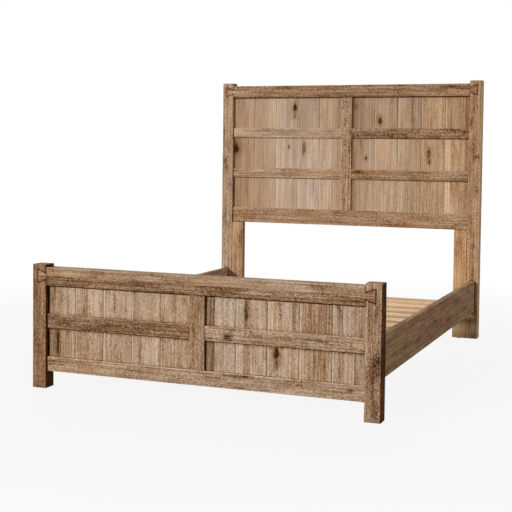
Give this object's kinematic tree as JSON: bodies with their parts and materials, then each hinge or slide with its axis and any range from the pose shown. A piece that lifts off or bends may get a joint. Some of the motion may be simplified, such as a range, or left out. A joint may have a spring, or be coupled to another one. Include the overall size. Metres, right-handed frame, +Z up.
{
  "type": "wooden bed frame",
  "caption": "Rustic board-and-batten bed frame: tall panelled headboard, low footboard with lapped dovetail corners, hook-on side rails, slat deck and levelling centre legs.",
  "frame": {"origin": "on the floor, at the centre of the bed's footprint", "axes": "+Y from the footboard to the headboard, +Z up, +X to the right when seen from the foot"},
  "size_m": [1.64, 2.23, 1.518],
  "materials": {
    "post_wood": "sawn and worn, light brown oak stain, satin",
    "rail_wood": "rough sawn, light brown oak stain, satin",
    "board_wood": "planed boards with knots, light brown oak stain, satin",
    "deck_wood": "planed softwood, unfinished",
    "zinc_steel": "zinc plated, dull",
    "dark_nylon": "moulded nylon, matt"
  },
  "bodies": {
    "frame": {"headboard_post_left": "post_wood", "headboard_post_right": "post_wood", "headboard_top_rail": "rail_wood", "headboard_bottom_rail": "rail_wood", "headboard_center_stile": "post_wood", "headboard_leg_board_left": "post_wood", "headboard_leg_board_right": "post_wood", "headboard_mid_rail_lower_left": "rail_wood", "headboard_mid_rail_lower_right": "rail_wood", "headboard_mid_rail_upper_left": "rail_wood", "headboard_mid_rail_upper_right": "rail_wood", "headboard_board_1": "board_wood", "headboard_board_2": "board_wood", "headboard_board_3": "board_wood", "headboard_board_4": "board_wood", "headboard_board_5": "board_wood", "headboard_board_6": "board_wood", "headboard_board_7": "board_wood", "headboard_board_8": "board_wood", "headboard_board_9": "board_wood", "headboard_board_10": "board_wood", "footboard_post_left": "post_wood", "footboard_post_right": "post_wood", "footboard_top_rail": "rail_wood", "footboard_bottom_rail": "rail_wood", "footboard_center_stile": "post_wood", "footboard_mid_rail_left": "rail_wood", "footboard_mid_rail_right": "rail_wood", "footboard_board_1": "board_wood", "footboard_board_2": "board_wood", "footboard_board_3": "board_wood", "footboard_board_4": "board_wood", "footboard_board_5": "board_wood", "footboard_board_6": "board_wood", "footboard_board_7": "board_wood", "footboard_board_8": "board_wood", "footboard_board_9": "board_wood", "footboard_board_10": "board_wood", "side_rail_left": "rail_wood", "side_rail_right": "rail_wood", "slat_cleat_left": "deck_wood", "slat_cleat_right": "deck_wood", "slats": "deck_wood", "center_beam": "deck_wood", "support_leg_foot": "deck_wood", "support_leg_middle": "deck_wood", "support_leg_head": "deck_wood", "leg_inserts": "zinc_steel", "leg_bolts": "zinc_steel", "leg_nuts": "zinc_steel", "rail_hook_plates": "zinc_steel", "post_slot_plates": "zinc_steel", "plate_screws": "zinc_steel", "slat_screws": "zinc_steel", "cleat_screws": "zinc_steel", "floor_glides": "dark_nylon"},
    "leveler_foot": {"leveling_foot_foot": "dark_nylon"},
    "leveler_middle": {"leveling_foot_middle": "dark_nylon"},
    "leveler_head": {"leveling_foot_head": "dark_nylon"}
  },
  "joints": [
    {"name": "leveler_foot_slide", "type": "slide", "parent": "frame", "child": "leveler_foot", "axis": [0, 0, 1], "range_m": [-0.015, 0.012]},
    {"name": "leveler_middle_slide", "type": "slide", "parent": "frame", "child": "leveler_middle", "axis": [0, 0, 1], "range_m": [-0.015, 0.012]},
    {"name": "leveler_head_slide", "type": "slide", "parent": "frame", "child": "leveler_head", "axis": [0, 0, 1], "range_m": [-0.015, 0.012]}
  ]
}
